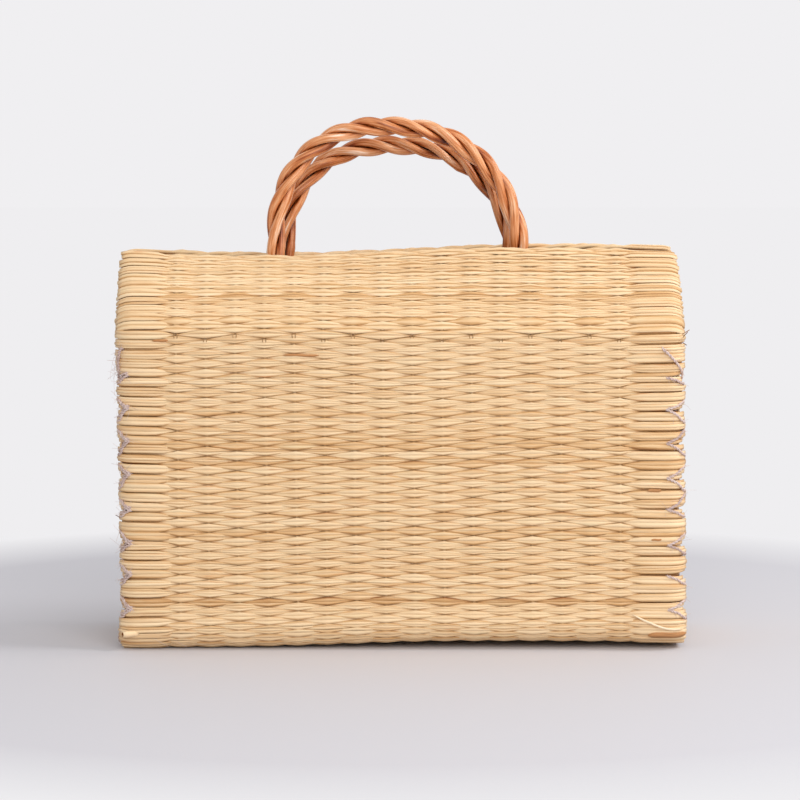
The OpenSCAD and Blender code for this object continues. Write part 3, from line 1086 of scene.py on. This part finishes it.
def corner_stitch(x_sign, side, z, drop):
    """One stroke of lacing: out of its hole in the wall, over the reed ends and into the end panel."""
    stitch_in = stitch_insets[x_sign]
    # Each point: how far in from the edge, its share of the drop, and how far it stands out of the mat
    over_wall = [
        (stitch_in + hole_in, 0.0, hole_proud),
        (stitch_in, 0.05, stitch_proud),
        (stitch_in * 0.5, 0.35, stitch_proud),
        (1.5 * mm, 0.75, stitch_proud),
        (-1.5 * mm, 0.95, stitch_proud - 0.6 * mm),
    ]
    points = [wall_point(x_sign, side, inset, z - drop * share, proud) for inset, share, proud in over_wall]
    end_y = side * (panel_half - stitch_in / 2)
    end_z = z - drop * panel_drop
    points.append((x_sign * (panel_x + panel_proud), end_y, end_z))
    points.append((x_sign * (panel_x + panel_sink), end_y - side * stitch_in / 2, end_z))
    return points


def top_stroke(x_sign, side):
    """The longer stroke under the fold, which closes the top of a corner."""
    high_in = stitch_insets[x_sign] + top_insets[x_sign]
    # Each point: how far in from the edge, how far below the fold, and how far it stands out of the mat
    over_wall = [
        (high_in + 1 * mm, 7.5 * mm, 1.0 * mm),
        (high_in, 8.5 * mm, 3.4 * mm),
        (high_in / 2, 15 * mm, 3.4 * mm),
        (0.5 * mm, 22 * mm, 3.2 * mm),
        (-2 * mm, 25 * mm, 2.4 * mm),
    ]
    return [wall_point(x_sign, side, inset, fold_z - down, proud) for inset, down, proud in over_wall]


hairs = {-1: 22, 1: 12}
top_hairs = {-1: 60, 1: 20}
hair_r = 0.07 * mm
hair_sides = 5
hair_steps = 6
hair_margin = 2
hair_lengths = (1.2 * mm, 5.5 * mm)
hair_curl = 0.5
hair_tones = (0.6, 0.95)
any_direction = (0.3, 0.5, 0.8)


def hair_rings(path, radius):
    """A thin round fibre along a short path."""
    first, second = path_frame(path, np.cross(path[-1] - path[0], any_direction))[1:]
    return oval_rings(path, first, second, radius, radius, ring_angles(hair_sides))


def add_hairs(line, count, rng, tubes, tones, tints):
    """Adds thin loose fibres that curl away from a length of twine."""
    t = np.linspace(0, 1, hair_steps)[:, None]
    for start in rng.integers(hair_margin, len(line) - hair_margin, count):
        heading = rng.normal(0, 1, 3)
        heading = heading / np.linalg.norm(heading)
        curl = rng.normal(0, hair_curl, 3)
        path = line[start] + rng.uniform(*hair_lengths) * (t * heading + t ** 2 * curl)
        tubes.append(hair_rings(path, hair_r))
        tones.append(rng.uniform(*hair_tones))
        tints.append(rng.random())


def corner_lacing(x_sign, side):
    """The twine of one corner: its stitches from the bottom up, many of them crossed, then the top stroke."""
    rng = np.random.default_rng(corner_seed + 3 * x_sign + side)
    twine = ([], [], [])
    for i in range(stitch_count):
        z = bottom_r + (i + 0.5) * stitch_pitch + rng.normal(0, stitch_uneven)
        strokes = (stitch_drop, -stitch_drop) if rng.random() < crossed_share else (stitch_drop,)
        for drop in strokes:
            drop = drop * rng.uniform(*drop_spread)
            for strand in range(strands[x_sign]):
                strand_drop = drop * strand_shorter ** strand
                points = corner_stitch(x_sign, side, z + strand * strand_apart, strand_drop)
                line = smooth_path(points, corner_step)
                twine_plies(line, upward, rng, *twine)
            add_hairs(line, hairs[x_sign], rng, *twine)
    line = smooth_path(top_stroke(x_sign, side), corner_step)
    twine_plies(line, upward, rng, *twine)
    add_hairs(line, top_hairs[x_sign], rng, *twine)
    return twine


bottom_stitches = 4
bottom_proud = 1.2 * mm
bottom_step = 0.6 * mm
bottom_seed = 91


def bottom_lacing(x_sign):
    """The twine of one bottom edge: each stitch goes from the end panel over its foot and under the mat."""
    rng = np.random.default_rng(bottom_seed + x_sign)
    stitch_in = stitch_insets[x_sign]
    # Each point: how far from the bag's middle, its share of the drop along the edge, and its height
    over_foot = [
        (panel_x + panel_sink, 0.5, mat_t + stitch_in),
        (panel_x + panel_proud, 0.35, mat_t + stitch_in * 0.85),
        (half_w + bottom_proud, 0.0, mat_t + 1 * mm),
        (half_w + bottom_proud, -0.3, mat_t * 0.5),
        (half_w - 2 * mm, -0.5, 1.4 * mm),
    ]
    twine = ([], [], [])
    for i in range(bottom_stitches):
        y = (i - (bottom_stitches - 1) / 2) * stitch_pitch
        points = [(x_sign * x, y + stitch_drop * share, z) for x, share, z in over_foot]
        twine_plies(smooth_path(points, bottom_step), backward, rng, *twine)
    return twine


for end_name, x_sign in (("left", -1), ("right", 1)):
    lacings = [
        (f"front_{end_name}_lacing", corner_lacing(x_sign, -1)),
        (f"back_{end_name}_lacing", corner_lacing(x_sign, 1)),
        (f"bottom_{end_name}_lacing", bottom_lacing(x_sign)),
    ]
    for node_name, twine in lacings:
        lacing = mesh_of_tubes(node_name + "_twine", *twine)
        lacing.data.materials.append(twine_finish)
        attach(lacing, "basket")
        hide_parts(node_name)

# Straw end and loose stalk
# One reed left whole at the left foot, so that its hollow end shows, and one pale stalk that has worked
# loose at the right foot and lies over the wall.
straw_from = np.array([-149.0, -50.5, 9.9]) * mm
straw_to = np.array([-157.6, -55.2, 9.7]) * mm
straw_along = np.array([0.0, 0.35, 0.7, 1.0, 1.0, 0.8])
straw_r = np.array([1.7, 1.8, 1.8, 1.8, 1.25, 1.1]) * mm
# The tone of each ring: the reed's own tone along the outside, paler at the cut end, then painted shade down
# into the hollow.
straw_tone_and_hole_shade = np.array([0.6, 0.6, 0.6, 0.7, 0.0, -0.4])[:, None]
straw_tint = 0.3
straw_outer_rings = 4
straw_sides = 10
straw_line = straw_from + straw_along[:, None] * (straw_to - straw_from)
straw_first, straw_second = path_frame(straw_line[:straw_outer_rings], upward)[1:]
angle = ring_angles(straw_sides)
ring = np.cos(angle)[:, None] * straw_first[0] + np.sin(angle)[:, None] * straw_second[0]
straw_rings = straw_line[:, None, :] + straw_r[:, None, None] * ring[None, :, :]
stalk_from = 130 * mm
stalk_len = 28 * mm
stalk_down = 162.5 * mm
stalk_fall = 9 * mm
stalk_bow = 2.5 * mm
stalk_proud = 3.0 * mm
stalk_arch = 0.8 * mm
stalk_half_t = 0.5 * mm
stalk_half_h = 0.65 * mm
stalk_steps = 14
stalk_sides = 6
stalk_tone = 0.95
stalk_tint = 0.6
blunt_end = 1.05
blunt_power = 6
t = np.linspace(0, 1, stalk_steps)
from_middle = 2 * t - 1
stalk_s = stalk_down + stalk_fall * t - stalk_bow * from_middle ** 2
middle, out, down = body_place(stalk_from + stalk_len * t, stalk_s)
stalk_line = middle + out * (stalk_proud + stalk_arch * np.sin(math.pi * t))[:, None]
stalk_high = stalk_half_h * (blunt_end - from_middle ** blunt_power)
stalk_rings = flat_rings(stalk_line, out, down, stalk_half_t, stalk_high, stalk_sides)[0]
straw_piece = mesh_of_tubes("straw_end", [straw_rings], [straw_tone_and_hole_shade], [straw_tint])
stalk_piece = mesh_of_tubes("loose_stalk", [stalk_rings], [stalk_tone], [stalk_tint])
for reed_piece in (straw_piece, stalk_piece):
    reed_piece.data.materials.append(reed_finish)
    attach(reed_piece, "basket")

# Sheath scraps and splinters
# Scraps of brown leaf sheath that are still on a few reeds of the front wall, and short brown splinters
# of reed that stand off its two edges.
sheath_finish = fibre_finish(
    "leaf_sheath",
    stops=[
        (0.0, srgb(96, 54, 24)),
        (0.5, srgb(188, 128, 76)),
        (1.0, srgb(224, 172, 118)),
    ],
    cool=srgb(196, 142, 92),
    stain=srgb(110, 62, 30),
    stain_from=0.6,
    stain_grain=(60.0, 1.5, 2.0),
    streak=0.6,
    rough_low=0.5,
    relief=0.2 * mm,
)
scrap_half_t = 0.4 * mm
scrap_steps = 11
scrap_sides = 5
scrap_wave = 0.1 * mm
scrap_waves = 5
scrap_tones = (0.5, 0.8)
# Each scrap: from, to, its place down the wall, half its height, and how far out of the mat it lies
scraps = [
    (139 * mm, 147 * mm, 87.5 * mm, 0.8 * mm, 2.9 * mm),
    (139 * mm, 161 * mm, 172.5 * mm, 2.1 * mm, 2.9 * mm),
    (141 * mm, 147 * mm, 115.5 * mm, 0.6 * mm, 2.9 * mm),
    (-66 * mm, -46 * mm, 11.6 * mm, 0.7 * mm, 2.2 * mm),
    (-140 * mm, -131 * mm, 3 * mm, 0.7 * mm, 2.6 * mm),
]
splinter_r = 0.22 * mm
splinter_steps = 5
splinter_tones = (0.0, 0.3)
# Each splinter, in mm: where it starts, and its way from there
splinters = [
    ((159.5, -49.5, 180.5), (4.0, -0.5, 2.5)),
    ((159.8, -49.0, 178.5), (2.8, -0.5, 3.4)),
    ((159.5, -49.0, 176.0), (2.6, 0.0, -1.8)),
    ((-159.0, -49.0, 76.0), (-2.4, -0.5, 1.6)),
]
scrap_seed = 97
rng = np.random.default_rng(scrap_seed)
tubes, tones, tints = [], [], []
for scrap_from, scrap_to, scrap_s, scrap_half, scrap_proud in scraps:
    t = np.linspace(-1, 1, scrap_steps)
    u = (scrap_from + scrap_to) / 2 + (scrap_to - scrap_from) / 2 * t
    middle, out, down = body_place(u, scrap_s + scrap_wave * np.sin(scrap_waves * t))
    high = scrap_half * np.sqrt(blunt_end - t ** blunt_power)
    tubes.append(flat_rings(middle + out * scrap_proud, out, down, scrap_half_t, high, scrap_sides)[0])
    tones.append(rng.uniform(*scrap_tones))
    tints.append(rng.random())
for start, heading in splinters:
    t = np.linspace(0, 1, splinter_steps)[:, None]
    tubes.append(hair_rings(mm * (np.array(start) + t * np.array(heading)), splinter_r))
    tones.append(rng.uniform(*splinter_tones))
    tints.append(rng.random())
scrap_piece = mesh_of_tubes("sheath_scraps", tubes, tones, tints)
scrap_piece.data.materials.append(sheath_finish)
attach(scrap_piece, "basket")

# Loose fibres
# Long single fibres of the lacing twine that have worked loose at the corners and along the front foot.
# They hang free, each from one end, and curl as they go.
fibre_r = 0.06 * mm
fibre_steps = 12
fibre_tones = (0.6, 0.9)
# Each fibre, in mm: where it starts, its way from there, and how that bends
long_fibres = [
    ((-160.0, -49.0, 172.0), (-6.0, -1.0, -12.0), (2.0, 0.0, -5.0)),
    ((-160.0, -49.0, 169.0), (-5.0, -1.0, -14.0), (3.5, 0.0, -9.0)),
    ((-159.0, -50.0, 140.0), (-4.0, -1.0, -9.0), (3.0, 0.0, -3.0)),
    ((160.0, -50.0, 152.0), (3.0, -1.5, -4.0), (-2.0, 0.0, -4.0)),
    ((-140.0, -52.0, 7.0), (5.0, -3.5, -2.5), (4.0, -1.0, -1.5)),
    ((-128.0, -52.0, 6.0), (4.0, -4.0, -2.0), (3.0, -1.0, -1.0)),
]
tubes, tones, tints = [], [], []
for start, heading, curl in long_fibres:
    t = np.linspace(0, 1, fibre_steps)[:, None]
    line = mm * (np.array(start) + t * np.array(heading) + t ** 2 * np.array(curl))
    tubes.append(hair_rings(line, fibre_r))
    tones.append(rng.uniform(*fibre_tones))
    tints.append(rng.random())
fibre_piece = mesh_of_tubes("loose_fibres", tubes, tones, tints)
fibre_piece.data.materials.append(twine_finish)
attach(fibre_piece, "basket")

# Stage
# A plain pale floor that runs out to a paler backdrop, soft light from above and the right, and the
# camera at the picture's angle.
floor_reach = 6.0
floor_near = 0.38
floor_far = 0.5
floor_mesh = bpy.data.meshes.new("floor")
floor_corners = [(-floor_reach, -floor_reach, 0), (floor_reach, -floor_reach, 0)]
floor_corners += [(floor_reach, floor_reach, 0), (-floor_reach, floor_reach, 0)]
floor_mesh.from_pydata(floor_corners, [], [(0, 1, 2, 3)])
floor = bpy.data.objects.new("floor", floor_mesh)
bpy.context.scene.collection.objects.link(floor)


def seen_share(tree):
    """1 for what the camera or a mirror sees, 0 for what only lights the bag."""
    rays = new_node(tree, "ShaderNodeLightPath")
    mirrored = maths(tree, "ADD", rays.outputs["Is Camera Ray"], rays.outputs["Is Glossy Ray"])
    return maths(tree, "ADD", mirrored, rays.outputs["Is Transmission Ray"])


floor_finish = bpy.data.materials.new("pale_floor")
floor_finish.use_nodes = True
floor_tree = floor_finish.node_tree
floor_shader = floor_tree.nodes["Principled BSDF"]
floor_shader.inputs["Base Color"].default_value = srgb(204, 202, 206)
floor_shader.inputs["Roughness"].default_value = 0.75
backdrop = new_node(floor_tree, "ShaderNodeEmission", Color=srgb(239, 238, 240), Strength=1.0)
floor_at = new_node(floor_tree, "ShaderNodeNewGeometry").outputs["Position"]
from_bag = new_node(floor_tree, "ShaderNodeVectorMath", operation="LENGTH")
floor_tree.links.new(floor_at, from_bag.inputs[0])
pale_stops = [(floor_near, grey(0.0)), (floor_far, grey(1.0))]
pale_share = ramp(floor_tree, from_bag.outputs["Value"], pale_stops)
pale_share = maths(floor_tree, "MULTIPLY", pale_share, seen_share(floor_tree))
floor_mix = new_node(floor_tree, "ShaderNodeMixShader")
floor_tree.links.new(pale_share, floor_mix.inputs[0])
floor_tree.links.new(floor_shader.outputs[0], floor_mix.inputs[1])
floor_tree.links.new(backdrop.outputs[0], floor_mix.inputs[2])
floor_tree.links.new(floor_mix.outputs[0], floor_tree.nodes["Material Output"].inputs["Surface"])
floor_mesh.materials.append(floor_finish)

world = bpy.data.worlds.new("studio")
world.use_nodes = True
world_tree = world.node_tree
soft_light = world_tree.nodes["Background"]
soft_light.inputs["Color"].default_value = (0.96, 0.97, 1.0, 1.0)
soft_light.inputs["Strength"].default_value = 0.66
pale_wall = new_node(world_tree, "ShaderNodeBackground", Color=srgb(240, 239, 241), Strength=1.0)
world_mix = new_node(world_tree, "ShaderNodeMixShader")
world_tree.links.new(seen_share(world_tree), world_mix.inputs[0])
world_tree.links.new(soft_light.outputs[0], world_mix.inputs[1])
world_tree.links.new(pale_wall.outputs[0], world_mix.inputs[2])
world_tree.links.new(world_mix.outputs[0], world_tree.nodes["World Output"].inputs["Surface"])
bpy.context.scene.world = world


def soft_lamp(name, place, aim, size, watts):
    """A square lamp at a place, turned towards what it lights."""
    lamp = bpy.data.lights.new(name, "AREA")
    lamp.size = size
    lamp.energy = watts
    holder = bpy.data.objects.new(name, lamp)
    holder.location = place
    look = np.array(aim) - np.array(place)
    yaw = math.atan2(-look[0], look[1])
    pitch = math.atan2(math.hypot(look[0], look[1]), -look[2])
    holder.rotation_euler = (pitch, 0.0, yaw)
    bpy.context.scene.collection.objects.link(holder)


soft_lamp("key_lamp", place=(0.4, -1.7, 1.05), aim=(0, 0, 0.12), size=1.3, watts=17)
soft_lamp("side_lamp", place=(1.3, -0.2, 1.2), aim=(0, 0, 0.15), size=0.7, watts=13)

camera_data = bpy.data.cameras.new("camera")
camera = bpy.data.objects.new("camera", camera_data)
view_lift = math.radians(5.5)
view_far = 2.0
view_aim = (0.0, -52 * mm, 143.4 * mm)
camera.location = (
    view_aim[0],
    view_aim[1] - view_far * math.cos(view_lift),
    view_aim[2] + view_far * math.sin(view_lift),
)
camera.rotation_euler = (math.pi / 2 - view_lift, 0.0, 0.0)
camera_data.sensor_width = 36.0
camera_data.lens = 159.2
bpy.context.scene.collection.objects.link(camera)
bpy.context.scene.camera = camera
bpy.context.scene.view_settings.view_transform = "Standard"
